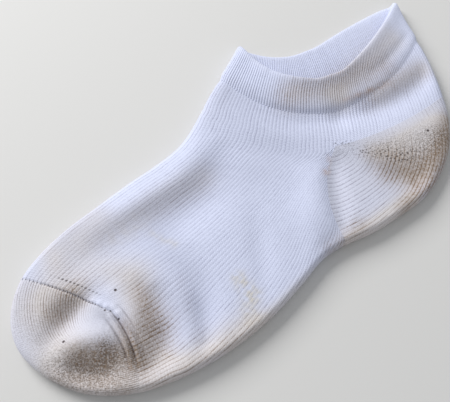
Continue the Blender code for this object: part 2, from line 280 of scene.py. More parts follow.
def surface(points, under):
    """The height of the cloth's outer face over these x, y points, and the way it faces."""
    edge, inward = from_fold(points)
    width = np.full(len(points), UNDER_ROUND)
    rise = -FOLD_HEIGHT
    if not under:
        width[:] = EDGE_ROUND
        rise = EDGE_HEIGHT - FOLD_HEIGHT
        for _, x, y, reach, added in EDGE_SPOTS:
            width += added * np.exp(-(np.linalg.norm(points - (x, y), axis=1) / reach) ** 2)
    left = 1 - np.clip(edge / width, 0, 1)
    rest = np.maximum(1 - left ** SQUARENESS, TINY)
    height = FOLD_HEIGHT + rise * rest ** (1 / SQUARENESS)
    steep = rise / width * left ** (SQUARENESS - 1) * rest ** (1 / SQUARENESS - 1)
    fade = np.clip(edge / CREASE_FADE, 0, 1)
    fade = fade * fade * (3 - 2 * fade)
    added, slope = relief(points)
    if under:
        fade = -fade * UNDER_SHARE * (added < 0)
    else:
        left = 1 - np.clip(edge / SWELL_REACH, 0, 1)
        height += SWELL * (1 - left ** 2)
        steep += 2 * SWELL / SWELL_REACH * left
    height += fade * added
    slope = steep[:, None] * inward + fade[:, None] * slope
    facing = np.column_stack([-slope, np.ones(len(points))]) * (-1 if under else 1)
    return height, facing / np.linalg.norm(facing, axis=1, keepdims=True)


def bowed(start, end, bow):
    """A dense line of points from start to end, bowed to its right."""
    part = np.linspace(0, 1, DENSE)[:, None]
    run = end - start
    across = np.array([run[1], -run[0]]) / np.linalg.norm(run)
    return start + run * part + across * bow * 4 * part * (1 - part)


def rounded(path, corner, reach):
    """The path with its corner smoothed: each point near it is the mean of a stretch of path."""
    so_far = walked(path)
    steps = np.diff(so_far)[:, None]
    total = np.vstack([[0.0, 0.0], np.cumsum((path[1:] + path[:-1]) / 2 * steps, axis=0)])
    half = reach - np.abs(so_far - so_far[corner]) / 2
    near = half > CLOSE
    at, half = so_far[near], half[near]
    path = path.copy()
    for i in range(2):
        ahead, behind = (np.interp(at + way * half, so_far, total[:, i]) for way in (1, -1))
        path[near, i] = (ahead - behind) / (2 * half)
    return path


def laid(upper, under, spread):
    """Points out along the upper line and back along the under one, and the ways they face.

    The spread gives how far round each of them lies, from how far round the lines' own points lie.
    """
    line = np.vstack([upper, under])
    heights = np.concatenate([surface(upper, False)[0], surface(under, True)[0]])
    so_far = walked(np.column_stack([line, heights]))
    at = spread(so_far)
    points = np.zeros((len(at), 6))
    for i in range(2):
        points[:, i] = np.interp(at, so_far, line[:, i])
    for side in (False, True):
        there = (at > so_far[len(upper) - 1]) == side
        points[there, 2], points[there, 3:] = surface(points[there, :2], side)
    return points


def tube_halves(at, part):
    """The lines of one ring of the leg or the foot, on its upper side and underneath, from the front."""
    rows, folds = part
    front = fold_point(np.interp(at, STOPS[ONE_SPLIT], FRONT_FOLD))[0]
    back = fold_point(np.interp(at, STOPS[rows], folds))[0]
    ahead = smooth_rows(SIDES[ONE_SPLIT], STOPS[ONE_SPLIT], at)[0]
    behind = smooth_rows(SIDES[rows], STOPS[rows], at)[0]
    reach = CORNER_ROUND * np.clip((ANKLE_AT - at) / (ANKLE_AT - MOUTH_AT), 0, 1)
    halves = []
    for side, front_bow, back_bow in ((0, 2, 3), (4, 6, 7)):
        path = np.vstack([bowed(front, ahead[side:side + 2], ahead[front_bow])[:-1],
                          bowed(behind[side:side + 2], back, behind[back_bow])])
        halves.append(rounded(path, DENSE - 1, reach))
    return halves


def tube_ring(at, part, front_columns, back_columns, twist=0.0):
    """One closed ring of the tube. A twist takes its wales round towards the back on its upper side."""
    upper, under = tube_halves(at, part)
    columns = 2 * (front_columns + back_columns)

    def spread(so_far):
        top, whole = so_far[len(upper) - 1], so_far[-1]
        middle = so_far[DENSE - 1] + twist
        at_back = front_columns + back_columns
        if part is FOOT:
            at_back = front_columns * top / middle
        even = top + (whole - top) * (columns - front_columns - at_back) / (columns - at_back)
        lower = so_far[-DENSE] + (even - so_far[-DENSE]) * twist / TWIST
        return np.interp(np.arange(columns), (0, front_columns, at_back, columns - front_columns, columns),
                         (0, middle, top, lower, whole))

    return laid(upper, under[-2::-1], spread)


def wander(x, y, lump, seed):
    """Uneven waves over the cloth, from about -1 to 1, with lumps about this size."""
    x, y = x / lump, y / lump
    waves = np.random.default_rng(seed)
    total = 0.0
    for _ in range(WAVES):
        turn = waves.uniform(0, 2 * np.pi)
        pace = waves.uniform(0.6, 1.7)
        start = waves.uniform(0, 2 * np.pi)
        total = total + np.sin(pace * (x * np.cos(turn) + y * np.sin(turn)) + start)
    return total / np.sqrt(WAVES * 2)


def placed(name, data):
    """A new object in the scene, with this mesh, lamp or camera."""
    made = bpy.data.objects.new(name, data)
    bpy.context.scene.collection.objects.link(made)
    return made


class Cloth:
    """Points, faces and what each carries, gathered until one mesh is made of them."""

    def __init__(self, name):
        self.name = name
        self.points, self.faces, self.knit, self.bake = [], [], [], []
        self.tints = {}
        self.count = 0

    def add_points(self, grid, tints):
        """Adds a grid of points, and returns the grid of their numbers."""
        numbers = self.count + np.arange(grid.shape[0] * grid.shape[1]).reshape(grid.shape[:2])
        self.points.append(grid.reshape(-1, 3))
        for name, values in tints.items():
            self.tints.setdefault(name, []).append(np.broadcast_to(values, grid.shape[:2]).ravel())
        self.count += numbers.size
        return numbers

    def add_quads(self, numbers, wales, courses, low, high, inside=False):
        """Faces over a grid of points, with its wales and courses counted at its columns and rows.

        Their bake map puts them on a band of the texture, from low to high.
        """
        corners = ((0, 0), (1, 0), (1, 1), (0, 1))
        if inside:
            corners = corners[::-1]
        rows, columns = numbers.shape[0] - 1, numbers.shape[1] - 1
        quads, knit, baked = [], [], []
        for i, j in corners:
            quads.append(numbers[i:rows + i, j:columns + j])
            knit.append(np.dstack(np.meshgrid(wales[j:columns + j], courses[i:rows + i])))
            across = (np.arange(columns) + j) / columns
            down = low + (high - low) * (np.arange(rows) + i) / rows
            baked.append(np.dstack(np.meshgrid(across, down)))
        self.faces += np.stack(quads, axis=-1).reshape(-1, 4).tolist()
        self.knit.append(np.stack(knit, axis=2).reshape(-1, 2))
        self.bake.append(np.stack(baked, axis=2).reshape(-1, 2))

    def add_rim(self, outer, inner):
        """Faces from a run of outer points to a run of inner ones, one to each inner step."""
        step = (len(outer) - 1) // (len(inner) - 1)
        for k in range(len(inner) - 1):
            face = outer[k * step:(k + 1) * step + 1].tolist() + [int(inner[k + 1]), int(inner[k])]
            self.faces.append(face)
            self.knit.append(np.zeros((len(face), 2)))
            self.bake.append(np.full((len(face), 2), RIM_SPOT))

    def make(self, material):
        """The finished object, in metres, with the points that meet made one."""
        points = np.vstack(self.points) - MIDDLE
        points[:, 2] = np.maximum(points[:, 2], 0.0)
        mesh = bpy.data.meshes.new(self.name)
        mesh.from_pydata((points * METRE).tolist(), [], self.faces)
        for name, values in self.tints.items():
            layer = mesh.attributes.new(name, "FLOAT", "POINT")
            layer.data.foreach_set("value", np.concatenate(values).astype(np.float32))
        for name, values in (("OFBake", self.bake), ("knit", self.knit)):
            layer = mesh.uv_layers.new(name=name)
            layer.uv.foreach_set("vector", np.vstack(values).astype(np.float32).ravel())
        work = bmesh.new()
        work.from_mesh(mesh)
        bmesh.ops.remove_doubles(work, verts=work.verts, dist=CLOSE * METRE)
        work.to_mesh(mesh)
        work.free()
        mesh.shade_smooth()
        mesh.set_sharp_from_angle(angle=RIM_ANGLE)
        mesh.materials.append(material)
        return placed(self.name, mesh)


def spots(x, y, table):
    """How much of each of a table's soft spots reaches these points, added up."""
    total = np.zeros(np.shape(x))
    for _, x0, y0, x1, y1, wide, amount in table:
        run = np.array([x1 - x0, y1 - y0])
        length = max(run @ run, TINY)
        along = np.clip(((x - x0) * run[0] + (y - y0) * run[1]) / length, 0, 1)
        away = np.hypot(x - x0 - along * run[0], y - y0 - along * run[1])
        total += amount * np.exp(-(away / wide) ** 2)
    return total


def bell(distance, middle, wide):
    """1 at the middle distance and 0 far from it."""
    return np.exp(-((distance - middle) / wide) ** 2)


class Shade:
    """A socket of a material's nodes. Sums and products of these add the Math nodes that they need."""

    def __init__(self, tree, socket=None):
        self.tree = tree
        self.socket = socket

    def node(self, kind, settings=(), sockets=(), out=0):
        """A new node: its settings are made first, then its sockets get their values or links."""
        made = self.tree.nodes.new("ShaderNode" + kind)
        for name, value in dict(settings).items():
            setattr(made, name, value)
        for name, value in dict(sockets).items():
            if isinstance(value, Shade):
                self.tree.links.new(value.socket, made.inputs[name])
            else:
                made.inputs[name].default_value = value
        return Shade(self.tree, made.outputs[out])

    def math(self, operation, *others):
        return self.node("Math", {"operation": operation}, enumerate((self, *others)))

    def __add__(self, other):
        return self.math("ADD", other)

    def __sub__(self, other):
        return self.math("SUBTRACT", other)

    def __rsub__(self, other):
        return self * -1.0 + other

    def __mul__(self, other):
        return self.math("MULTIPLY", other)

    def __pow__(self, other):
        return self.math("POWER", other)

    def __abs__(self):
        return self.math("ABSOLUTE")

    __radd__, __rmul__ = __add__, __mul__

    def within(self, low, high):
        """0 below low, 1 above high, and smooth between."""
        return self.node("MapRange", {"interpolation_type": "SMOOTHSTEP"},
                         {"Value": self, "From Min": low, "From Max": high})

    def near(self, middle, half, soft):
        """1 within half of the middle, and 0 past half and soft."""
        return 1.0 - abs(self - middle).within(half, half + soft)

    def axis(self, name):
        """A vector's X, Y or Z."""
        return self.node("SeparateXYZ", (), {"Vector": self}, out=name)

    def carried(self, name):
        """What the mesh carries under this name."""
        return self.node("Attribute", {"attribute_name": name}, out="Fac")

    def cloud(self, size, place, detail=2.0, rough=0.5):
        """Uneven cloudy noise from 0 to 1, its lumps about this many millimetres across."""
        return self.node("TexNoise", (), {"Vector": place, "Scale": 1 / (size * METRE),
                                          "Detail": detail, "Roughness": rough}, out="Fac")

    def dots(self, size, place, uneven):
        """How far the nearest of many scattered dots is, as a part of their spacing."""
        sockets = {"Vector": place, "Scale": 1 / (size * METRE), "Randomness": uneven}
        return self.node("TexVoronoi", {"voronoi_dimensions": "2D"}, sockets, out="Distance")

    def mixed(self, part, start, end):
        """A colour this part of the way from start to end."""
        return self.node("Mix", {"data_type": "RGBA"}, {"Factor": part, "A": start, "B": end}, out="Result")


def rgba(colour):
    return (*colour, 1.0)


WHITE = (0.73, 0.77, 0.95)
SHADOW = (0.36, 0.37, 0.50)
CREAM = (0.79, 0.745, 0.73)
YELLOW = (0.70, 0.61, 0.38)
PINK = (0.66, 0.50, 0.44)
# The grey-blue of painted shade.
PAINTED_SHADE = (0.40, 0.42, 0.52)
# The brown of grime, also used for painted shade.
GRIME_AND_SHADE = (0.28, 0.19, 0.12)
LOOSE = (0.25, 0.20, 0.165)
# Near black, for holes, and for painted shade in the creases beside the toe's pleats and in grimy rib
# valleys.
HOLE_AND_SHADE_DARK = (0.07, 0.05, 0.05)

# How far from the toe's seam its row of holes lies, and the sunk lines beside its pleats, which carry
# painted shade.
ROW_FROM_SEAM = 4.8
PLEAT_LINES = (4.3, -3.9)
FAR_FROM_SEAM = 15.0


def knitted(name, rib_line=0.9, stitch_bump=0.14, cream_base=0.0, pins=()):
    """Cotton knit: its tint, grime with painted shade, painted shade and terry come from the mesh, its
    stitches from the knit map.
    """
    material = bpy.data.materials.new(name)
    material.use_nodes = True
    cloth = Shade(material.node_tree)
    place = cloth.node("TexCoord", out="Object")
    knit = cloth.node("UVMap", {"uv_map": "knit"})
    soft = cloth.cloud(12.0, place)
    patch = cloth.cloud(4.0, place, detail=3.0)
    grain = cloth.cloud(1.1, place, detail=3.0, rough=0.75)
    fine = cloth.cloud(0.45, place, detail=2.0, rough=0.7)
    wale = knit.axis("X") + (grain - 0.5) * 0.25
    course = knit.axis("Y")
    cream = (cloth.carried("cream") + cream_base).math("MINIMUM", 1.0)
    grime_and_shade, terry = cloth.carried("grime_and_shade"), cloth.carried("terry")

    # Each stitch is a V: its course leans up on both sides of the middle of its wale.
    from_middle = wale.math("PINGPONG", 0.5) * 2.0
    stitches = (course + from_middle * 0.5) * (2 * np.pi)
    stitch = stitches.math("SINE") * 0.5 + 0.5
    broken = (patch * 0.5 + grain * 0.7).within(0.45, 0.75) * 0.7 + 0.3
    shown = 1.0 - cloth.carried("plain")
    each = cloth.node("TexWhiteNoise", {"noise_dimensions": "1D"}, {"W": wale.math("FLOOR")}, out="Value")
    valley = from_middle.within(0.6, 0.93) * broken * (0.6 + 0.8 * each) * (stitch * 0.5 + 0.5) * shown

    # Terry is full of small dark pits between its loops. Holes run where stitches were narrowed.
    speck = cloth.cloud(0.8, place, detail=2.0, rough=0.6)
    loose = (1.0 - cloth.dots(1.05, place, 1.0).within(0.1, 0.36)) * 0.7 + speck.within(0.48, 0.6) * 0.65
    holes = 1.0 - cloth.dots(1.8, place, 0.8).within(0.14, 0.36)
    pits = cloth.carried("holes") * holes * (patch.within(0.3, 0.55) * 0.6 + 0.4)

    # The toe's linking line, and the row of holes beside it.
    seam = cloth.carried("seam") + (grain - 0.5) * 0.7
    marks, pleats = (cloth.carried(name) for name in ("marks", "pleats"))
    between = from_middle.within(0.3, 0.7)
    crack = seam.near(0.0, 0.15, 0.45) * (marks * (between * 0.7 + 0.3) + pleats * 0.8)
    row = seam.near(ROW_FROM_SEAM, 0.15, 0.5) * between * marks
    # Painted shade in the sunk lines beside the pleats.
    before, after = (seam.near(line, 0.1, 0.7) for line in PLEAT_LINES)
    pleat_crease_shade = (before + after) * pleats * (grain + 0.4)

    specks = grain.within(0.38, 0.66) * (0.45 + 0.4 * terry) + 0.35
    colour = cloth.mixed(cream * (0.75 + 0.25 * soft), rgba(WHITE), rgba(CREAM))
    # Painted shade: a grey-blue darkening where the instep, the leg and the cuff lie in shade, and under
    # the cuff.
    colour = cloth.mixed(cloth.carried("painted_shade") * 0.28, colour, rgba(PAINTED_SHADE))
    colour = cloth.mixed(cloth.carried("yellow") * patch.within(0.25, 0.7), colour, rgba(YELLOW))
    colour = cloth.mixed(cloth.carried("pink") * patch.within(0.3, 0.7), colour, rgba(PINK))
    shadow = cloth.mixed(cream * 0.8, rgba(SHADOW), rgba(GRIME_AND_SHADE))
    colour = cloth.mixed(valley * rib_line, colour, shadow)
    colour = cloth.mixed(fine.within(0.5, 0.72) * 0.4, colour, shadow)
    # Grime, with painted shade in the dimples, the troughs, under the cuff and along the folds, darker
    # still in the ribs' valleys.
    colour = cloth.mixed(grime_and_shade * (specks + valley * 1.3), colour, rgba(GRIME_AND_SHADE))
    colour = cloth.mixed(grime_and_shade * valley * 0.35, colour, rgba(HOLE_AND_SHADE_DARK))
    colour = cloth.mixed(loose * terry * (0.5 + 0.8 * grime_and_shade), colour, rgba(LOOSE))
    colour = cloth.mixed((1.0 - stitch) * stitch_bump, colour, shadow)
    colour = cloth.mixed((pits * 0.7 + crack * 0.85 + row * 0.75 + pleat_crease_shade * 0.6).math("MINIMUM", 0.85),
                         colour, rgba(HOLE_AND_SHADE_DARK))
    height = stitch * stitch_bump + fine * 0.16 + patch * 0.2 - loose * terry * 0.5 - pits * 0.5 - row * 0.4

    if pins:
        split = [place.axis(name) * (1 / METRE) for name in "XY"]
        x, y = (part + float(MIDDLE[i]) for i, part in enumerate(split))
        pin = 0.0
        for _, x0, y0, reach in pins:
            away = ((x - x0) ** 2.0 + (y - y0) ** 2.0) ** 0.5 + (fine - 0.5) * 0.3
            pin = (1.0 - away.within(reach * 0.45, reach)) + pin
        colour = cloth.mixed(pin * 0.92, colour, rgba(HOLE_AND_SHADE_DARK))
        height = height - pin * 0.8

    bump = cloth.node("Bump", (), {"Height": height, "Strength": 0.7, "Distance": 0.0007})
    finish = material.node_tree.nodes["Principled BSDF"].inputs
    finish["Roughness"].default_value = 0.92
    finish["Specular IOR Level"].default_value = 0.15
    finish["Sheen Weight"].default_value = 0.2
    finish["Sheen Roughness"].default_value = 0.5
    material.node_tree.links.new(colour.socket, finish["Base Color"])
    material.node_tree.links.new(bump.socket, finish["Normal"])
    return material


# Where each tint and each painted shade lies: soft spots, each along a straight line. The ribs fade at the
# plain ones.
TINTS = {
        # place            from x, y      to x, y        reach, amount
    "cream": (
        ("toe",            -118, -8,      -118, -36,     15,  0.5),
        ("instep dimple",  -110, -10,     -100, -12,     7,   0.7),
        ("toe, sole side", -122, -46,     -98, -60,      13,  1),
        ("root, sole",     -75, -20,      -86, -58,      10,  0.9),
        ("root, instep",   -102, 2,       -84, -8,       9,   0.5),
        ("root, front",    -100, 12,      -76, 17,       8,   0.6),
        ("heel",           62, -27,       100, -33,      7,   0.65),
        ("heel, back",     74, -42,       96, -36,       11,  1),
        ("heel sole edge", 60, -57,       24, -59,       5,   1),
        ("sole edge",      20, -59,       -50, -71,      3.5, 0.7),
        ("ball edge",      -40, -68,      -92, -66,      8,   1),
        ("cuff back half", 66, 12,        110, 24,       8,   0.7),
        ("cuff, middle",   46, 24,        64, 11,        7,   0.5),
        ("under the cuff", 84, 1,         114, 1,        6,   0.6),
        ("instep valley",  -86, 6,        -20, 9,        7,   0.35),
    ),
    "yellow": (
        ("instep streak",  -56, -5,       -50, -15,      2.2, 0.28),
        ("ball patch",     -33.5, -46,    -31.5, -56,    3.5, 0.7),
        ("ball patch low", -37, -58,      -38, -63,      4,   0.4),
        ("over toe gore",  -72, 2,        -60, 4,        6,   0.12),
    ),
    "pink": (
        ("seam stain",     32.8, -22,     33, -23,       1.4, 1),
        ("seam streak",    39.5, -16.5,   34, -22.5,     1.5, 0.55),
        ("cuff groove",    66, 6.4,       92, 3.4,       1.2, 0.6),
    ),
    # Real grime, with painted shade in the dimples, the troughs and valleys, under the cuff and along the
    # folds' edges.
    "grime_and_shade": (
        ("sole dimple",    -111.5, -39.5, -104, -46,     7,   0.88),
        ("dimple, low",    -101, -41.5,   -98, -45,      4,   0.35),
        ("instep dimple",  -103, -11,     -113, -16.5,   6,   0.5),
        ("toe edge",       -124, -42,     -102, -61,     6,   0.38),
        ("right of gore",  -89, -38,      -92, -53,      4,   0.7),
        ("second valley",  -57, -32,      -62, -56,      4.5, 0.1),
        ("root, top",      -75, -27,      -76.5, -36,    5,   0.48),
        ("root, sole",     -74, -32,      -77, -44,      6,   0.28),
        ("root, right",    -72, -44,      -77, -56,      6,   0.3),
        ("root, low",      -81, -44,      -89, -55,      7,   0.6),
        ("instep trough",  -80, 5,        -24, 6,        7,   0.12),
        ("root, instep",   -102, 0,       -92, -12,      6,   0.1),
        ("heel gore",      57, -25,       84, -43,       4.5, 0.2),
        ("heel triangle",  62, -38,       76, -51,       9,   0.8),
        ("heel back edge", 76, -54,       106, -33,      6.5, 1),
        ("heel end, sole", 30, -54,       12, -57,       5,   0.45),
        ("heel sole edge", 84, -49,       56, -57.5,     4.5, 0.65),
        ("sole edge",      56, -60,       -40, -70,      1.8, 0.3),
        ("ball edge",      -44, -70.5,    -92, -66.5,    3,   0.3),
        ("cuff groove",    70, 5.6,       94, 3.6,       1.2, 0.3),
        ("under the cuff", 76, 0,         112, 2,        6,   0.28),
        ("leg, front",     10, 46,        2, 40,         9,   0.06),
        ("cuff, middle",   42, 24,        96, 13,        8,   0.42),
        ("cuff back half", 80, 26,        112, 34,       7,   0.1),
    ),
    "terry": (
        ("toe, sole side", -118, -42,     -104, -52,     12,  1),
        ("left of gore",   -99, -41,      -97, -48,      4.5, 0.6),
        ("toe, tip",       -126, -8,      -126, -34,     9,   0.35),
        ("instep dimple",  -112, -14,     -102, -12,     6,   0.5),
        ("over heel gore", 60, -24,       96, -34,       6,   0.68),
        ("heel, back",     76, -40,       92, -38,       6,   0.7),
    ),
    "holes": (
        ("gore",           54, -21,       72, -38,       3.2, 0.9),
        ("gore, at heel",  68, -30,       80, -38,       4,   0.6),
        ("heel end apex",  47, -12,       53, -15,       1.6, 0.8),
    ),
    "marks": (
        ("seam, middle",   -109, -4,      -101, -15,     4,   1),
        ("row beside it",  -102.5, -4,    -94.5, -17.5,  3,   1),
        ("inner end",      -101, -15,     -94.5, -24.5,  2.5, 0.7),
        ("outer end",      -121, 8,       -112, 0,       3,   0.25),
    ),
    "pleats": (
        ("seam, at sole",  -89.5, -34,    -91.5, -48,    5,   1.2),
    ),
    "plain": (
        ("toe, knot",      -92, -24,      -84, -33,      8,   1),
        ("toe, ridge",     -106, -30,     -94, -40,      8,   0.9),
        ("toe, sole side", -124, -34,     -108, -50,     10,  1),
        ("toe, tip",       -131, -2,      -130, -36,     8,   0.8),
        ("toe root",       -104, 8,       -66, 8,        13,  0.45),
        ("foot",           -70, -8,       -10, -30,      24,  0.2),
        ("heel, apex",     48, -15,       56, -18,       4,   0.8),
        ("over heel gore", 60, -22,       98, -28,       7,   0.9),
        ("under its back", 88, 2,         116, 4,        7,   0.5),
        ("cuff, back",     96, 34,        124, 38,       12,  0.6),
    ),
    # Painted shade, where the instep, the leg and the cuff lie in shade, and under the cuff.
    "painted_shade": (
        ("cuff",           60, 38,        110, 30,       17,  0.7),
        ("cuff, low edge", 50, 20,        104, 12,       9,   0.9),
        ("under the cuff", 18, 42,        46, 7,         8,   1),
        ("leg",            14, 26,        96, -4,        18,  0.8),
        ("leg, low",       -12, 4,        34, -9,        12,  0.8),
        ("instep",         -76, 0,        -16, 5,        8,   0.4),
        ("instep, middle", -50, -6,       -18, 0,        8,   0.6),
        ("ball",           -49, -34,      -56, -58,      7,   0.8),
        ("ball, toe side", -64, -42,      -67, -58,      6,   0.7),
        ("foot, middle",   -60, -8,       -50, -22,      8,   0.5),
        ("toe root",       -92, 15,       -74, 16,       8,   0.9),
        ("front edge",     -10, 38,       40, 66,        10,  0.35),
        ("root, sole",     -80, -24,      -88, -52,      12,  0.4),
    ),
}


def tints_of(grid, seam=FAR_FROM_SEAM):
    """What the cloth carries at each point of a grid: its creams, stains, grime with painted shade, painted
    shade, holes and terry.
    """
    x, y = grid[..., 0], grid[..., 1]
    return {name: np.clip(spots(x, y, table), 0, 1) for name, table in TINTS.items()} | {"seam": seam}


RIB_ROUND = 0.8


def ribbed(columns, samples):
    """The rib's height at each column: 1 on its back, 0 in the narrow valley beside it."""
    return np.abs(np.cos(np.pi * np.arange(columns) / samples)) ** RIB_ROUND


CUFF_WALL = 2.6
CUFF_FRONT_RIBS = 45
CUFF_BACK_RIBS = 57
CUFF_SAMPLES = 6
CUFF_STEP = 0.9
INSIDE_STEP = 2.4
CUFF_PROUD = 0.55
PROUD_REACH = 2.2
GROOVE = 0.35
GROOVE_REACH = 1.4
RIM_RADIUS = CUFF_WALL / 2
RIM_ROWS = 10
RIM_BEAD = 0.2
BEAD_REACH = 3.0
CUFF_RIB_DEPTH = 0.32
INSIDE_RIB_DEPTH = -0.36
RIM_RIB_SHARE = 0.25
FLAT_FROM_RIM = 1.0
FLAT_REACH = 1.6
CUFF_COURSE = 0.9
CORNER_DIP = 0.5
CORNER_REACH = 6.0

levels = np.linspace(MOUTH_AT, CUFF_AT, int((CUFF_AT - MOUTH_AT) / CUFF_STEP))
cuff_rings = np.array([tube_ring(at, LEG, CUFF_FRONT_RIBS * CUFF_SAMPLES, CUFF_BACK_RIBS * CUFF_SAMPLES)
                       for at in levels])
cuff_base, cuff_way = cuff_rings[..., :3], cuff_rings[..., 3:]
columns = cuff_base.shape[1]
cuff_ribs = ribbed(columns, CUFF_SAMPLES) - 1

# The rim dips a little at both of the mouth's corners, so that they are blunt.
so_far = walked(cuff_base[0, :, :2])
back_corner = so_far[columns // 2]
from_corner = np.minimum(np.minimum(so_far, so_far[-1] - so_far), np.abs(so_far - back_corner))
dip = CORNER_DIP * bell(from_corner, 0.0, CORNER_REACH)


def cuff_row(at, depth, rib_depth):
    """One ring of the cuff at this distance from the mouth, this far inside the tube's face."""
    k = np.interp(at + dip * (CUFF_AT - at) / (CUFF_AT - MOUTH_AT), levels, np.arange(len(levels)))
    low = np.minimum(k.astype(int), len(levels) - 2)
    every = np.arange(columns)
    base = cuff_base[low, every] + (cuff_base[low + 1, every] - cuff_base[low, every]) * (k - low)[:, None]
    uneven = 0.9 + 0.25 * wander(base[:, 0], base[:, 1], lump=9, seed=11)
    uneven *= 1 - np.clip(spots(base[:, 0], base[:, 1], TINTS["plain"]), 0, 1)
    lift = rib_depth * uneven * cuff_ribs - depth
    return base + cuff_way[low, every] * lift[:, None]


wall_rows = levels[levels > MOUTH_AT + RIM_RADIUS]
inside_rows = np.linspace(CUFF_AT, wall_rows[0], int((CUFF_AT - wall_rows[0]) / INSIDE_STEP))
from_edge = CUFF_AT - wall_rows
from_rim = wall_rows - MOUTH_AT
proud = CUFF_PROUD * (1 - bell(from_edge, 0.0, PROUD_REACH)) - GROOVE * bell(from_edge, 0.0, GROOVE_REACH)
proud += RIM_BEAD * bell(from_rim, 0.0, BEAD_REACH)
wall_ribs = CUFF_RIB_DEPTH * (1 - 0.6 * bell(from_rim, FLAT_FROM_RIM, FLAT_REACH))
turn = np.linspace(0, np.pi, RIM_ROWS + 2)[1:-1]
cuff_rows = [cuff_row(at, CUFF_WALL, INSIDE_RIB_DEPTH) for at in inside_rows]
cuff_rows += [cuff_row(MOUTH_AT + RIM_RADIUS * (1 - np.sin(a)),
                       RIM_RADIUS * (1 + np.cos(a)) - (CUFF_PROUD + RIM_BEAD) * a / np.pi,
                       CUFF_RIB_DEPTH * RIM_RIB_SHARE * a / np.pi) for a in turn]
cuff_rows += [cuff_row(at, -out, ribs) for at, out, ribs in zip(wall_rows, proud, wall_ribs)]
cuff_grid = np.array(cuff_rows)

cuff_cloth = Cloth("cuff_welt")
numbers = cuff_cloth.add_points(cuff_grid, tints_of(cuff_grid))
numbers = np.vstack([numbers, numbers[:1]])
numbers = np.hstack([numbers, numbers[:, :1]])
wales = np.arange(columns + 1) / CUFF_SAMPLES
courses = np.concatenate([inside_rows, np.full(RIM_ROWS, MOUTH_AT), wall_rows, [CUFF_AT]]) / CUFF_COURSE
cuff_cloth.add_quads(numbers, wales, courses, 0.0, 1.0)
cuff = cuff_cloth.make(knitted("cuff_rib", stitch_bump=0.07))
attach(cuff, "root")
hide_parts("cuff")

# ---- The leg and foot ----------------------------------------------------------------------
# One ribbed cotton tube from under the cuff to the toe seam, the instep along one edge and the
# sole along the other. Its back half stops for the heel pocket and goes on in front of it.

WALL = 1.8
FRONT_RIBS = 38
LEG_BACK_RIBS = 38
FOOT_BACK_RIBS = 24
SAMPLES = 4
RIB_DEPTH = 0.13
LEG_RIB_DEPTH = 0.30
LEG_RIB_FADE = 22.0
COURSE_STEP = 1.3
COURSE = 1.0
SEAM_STEP = 0.45
SEAM_REACH = 6.0
INSIDE_COLUMNS = 4
INSIDE_ROWS = 3
SEAM_POINTS = 40
SEAM_GROOVE = 0.55
PLEAT_BANDS = (1.9, -1.9)
PLEAT_RISE = 1.2
PLEAT_LINE_DEPTH = 0.5
LEG_GROOVE_REACH = 1.8
TWIST_EASE = 2.4

# The leg, the foot and the rims share the texture's height, and a piece's outer face gets most of it.
LEG_BAKE = 0.2
BAKE_END = 0.98
OUTER_BAKE = 0.85

# The toe's seam on the upper side.
seam_path = tube_halves(TOE_AT, FOOT)[0][::DENSE // SEAM_POINTS]

# Small bumps where the toe's linking starts and its gore lines end.
KNOT_BUMPS = (
    # bump     x, y          reach, rise
    ("first",  -95, -19,     1.3, 0.35),
    ("second", -93.3, -22,   1.5, 0.5),
    ("third",  -91, -25,     1.6, 0.6),
    ("fourth", -88.5, -27,   1.7, 0.5),
    ("fifth",  -87.8, -31,   1.5, 0.55),
    ("sixth",  -92.5, -30.5, 1.5, 0.4),
)


def from_seam(grid):
    """How far each point of a grid lies from the toe's seam, seen from above."""
    points = grid[..., :2].reshape(-1, 2)
    away = np.full(len(points), FAR_FROM_SEAM)
    for start, end in zip(seam_path[:-1], seam_path[1:]):
        away = np.minimum(away, np.abs(from_line(points, start, end)))
    return away.reshape(grid.shape[:2])


def toe_lift(grid, seam):
    """How far the cloth is lifted or sunk by the toe's linking line, its pleats and its knot."""
    x, y = grid[..., 0], grid[..., 1]
    pleats = np.clip(spots(x, y, TINTS["pleats"]), 0, 1)
    deep = SEAM_GROOVE * (0.2 + 0.8 * np.clip(spots(x, y, TINTS["marks"]) + 0.8 * pleats, 0, 1))
    bands = sum(PLEAT_RISE * bell(seam, band, 0.9) for band in PLEAT_BANDS)
    lines = sum(PLEAT_LINE_DEPTH * bell(seam, line, 0.7) for line in PLEAT_LINES)
    knot = sum(rise * bell(np.hypot(x - x0, y - y0), 0.0, reach) for _, x0, y0, reach, rise in KNOT_BUMPS)
    return knot - deep * bell(seam, 0.0, 0.6) + pleats * (bands - lines)


def rib_lift(grid, depth):
    """How far each point is lifted by its rib. The ribs are a little uneven, and fade where it is plain."""
    x, y = grid[..., 0], grid[..., 1]
    uneven = 0.8 + 0.35 * wander(x, y, lump=7, seed=5) + 0.2 * wander(x, y, lump=2.5, seed=6)
    shown = 1 - np.clip(spots(x, y, TINTS["plain"]), 0, 0.95)
    return depth * shown * np.clip(uneven, 0.1, 1.6) * (ribbed(grid.shape[1], SAMPLES) - 1)


